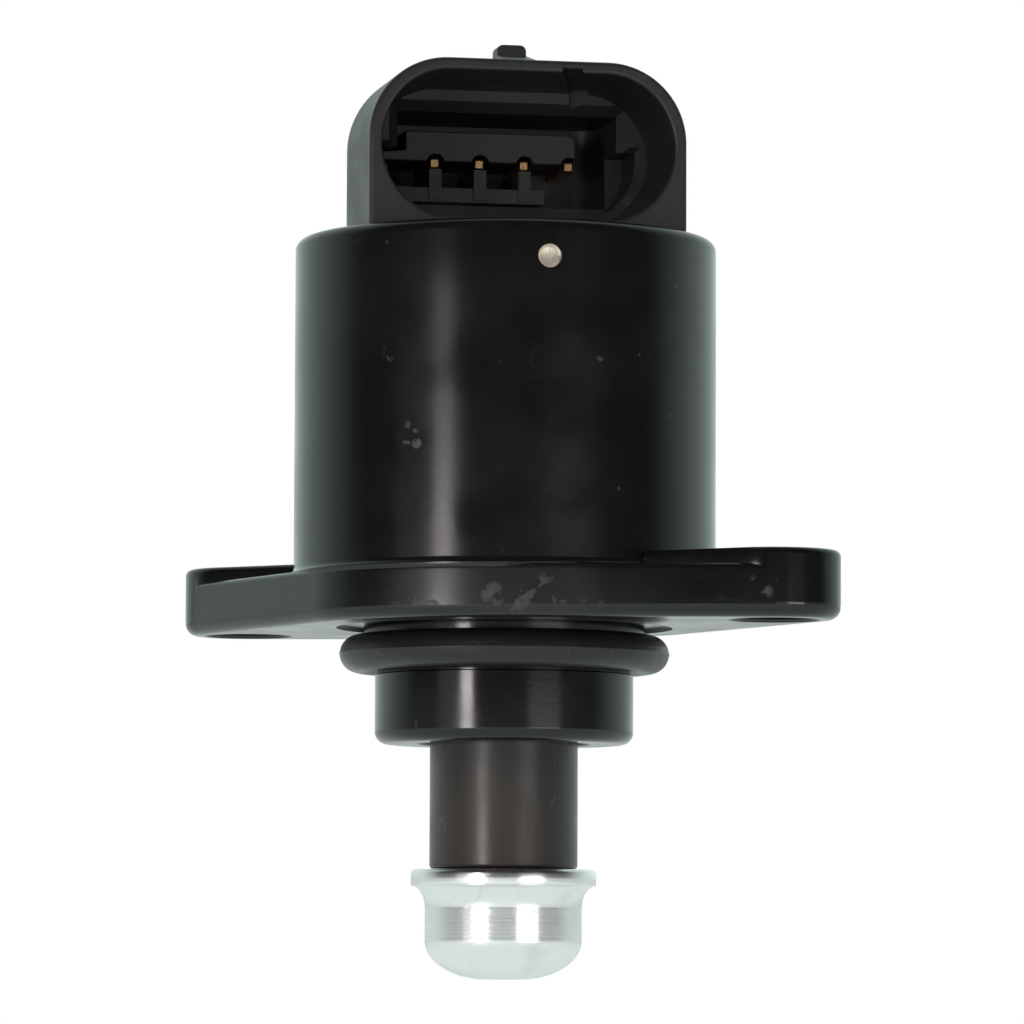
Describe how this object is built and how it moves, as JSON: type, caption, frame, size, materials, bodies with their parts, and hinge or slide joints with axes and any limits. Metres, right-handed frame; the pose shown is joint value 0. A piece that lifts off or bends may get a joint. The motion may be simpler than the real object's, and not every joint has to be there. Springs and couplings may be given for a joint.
{
  "type": "idle air control valve",
  "caption": "Idle air control valve: flanged round motor body with sealed neck, metal-tipped pintle driven by nut and screw, and an angled socket connector.",
  "frame": {"origin": "on the valve's axis, in the seating face of the flange, midway between the two bolt holes", "axes": "+Z along the axis away from the pintle, towards the connector; +X through the bolt hole that is nearer the connector's open side; the connector faces halfway between +X and -Y"},
  "size_m": [0.0604, 0.0346, 0.0753],
  "materials": {
    "body_plastic": "gloss",
    "cap_plastic": "satin",
    "seal_rubber": "matt",
    "guide_plastic": "satin",
    "shield_plastic": "satin",
    "terminal_bronze": "satin",
    "pole_steel": "satin",
    "bobbin_plastic": "satin",
    "copper_wire": "satin",
    "bush_bronze": "matt",
    "magnet_ferrite": "matt",
    "hub_plastic": "satin",
    "nut_brass": "satin",
    "bearing_steel": "polished",
    "cage_plastic": "satin",
    "spring_steel": "satin",
    "screw_steel": "satin",
    "sleeve_plastic": "satin",
    "tip_aluminium": "bright"
  },
  "bodies": {
    "housing": {"valve_body": "body_plastic", "connector_cap": "cap_plastic", "cap_seal": "seal_rubber", "o_ring": "seal_rubber", "guide_bush": "guide_plastic", "motor_shield": "shield_plastic", "terminal_1": "terminal_bronze", "terminal_2": "terminal_bronze", "terminal_3": "terminal_bronze", "terminal_4": "terminal_bronze", "lower_pole_cup": "pole_steel", "lower_pole_plate": "pole_steel", "upper_pole_plate": "pole_steel", "upper_pole_cup": "pole_steel", "lower_bobbin": "bobbin_plastic", "upper_bobbin": "bobbin_plastic", "lower_winding": "copper_wire", "upper_winding": "copper_wire", "front_bush": "bush_bronze", "bearing_outer_race": "bearing_steel", "spring_washer": "spring_steel"},
    "rotor": {"rotor_magnet": "magnet_ferrite", "rotor_hub": "hub_plastic", "rotor_nut": "nut_brass", "bearing_inner_race": "bearing_steel"},
    "ball_cage": {"bearing_balls": "bearing_steel", "bearing_cage": "cage_plastic"},
    "pintle": {"lead_screw": "screw_steel", "pintle_sleeve": "sleeve_plastic", "pintle_tip": "tip_aluminium"}
  },
  "joints": [
    {"name": "pintle_slide", "type": "slide", "parent": "housing", "child": "pintle", "axis": [0, 0, 1], "range_m": [-0.00125, 0.00875]},
    {"name": "rotor_spin", "type": "hinge", "parent": "housing", "child": "rotor", "pos_m": [0, 0, 0.018], "axis": [0, 0, 1], "range_deg": [-451, 3151]},
    {"name": "ball_cage_spin", "type": "hinge", "parent": "housing", "child": "ball_cage", "pos_m": [0, 0, 0.0268], "axis": [0, 0, 1], "range_deg": [-181, 1261]}
  ],
  "couplings": [
    {"joint": "rotor_spin", "follows": "pintle_slide", "rad_per_m": 6283.2},
    {"joint": "ball_cage_spin", "follows": "pintle_slide", "rad_per_m": 2513.3}
  ]
}
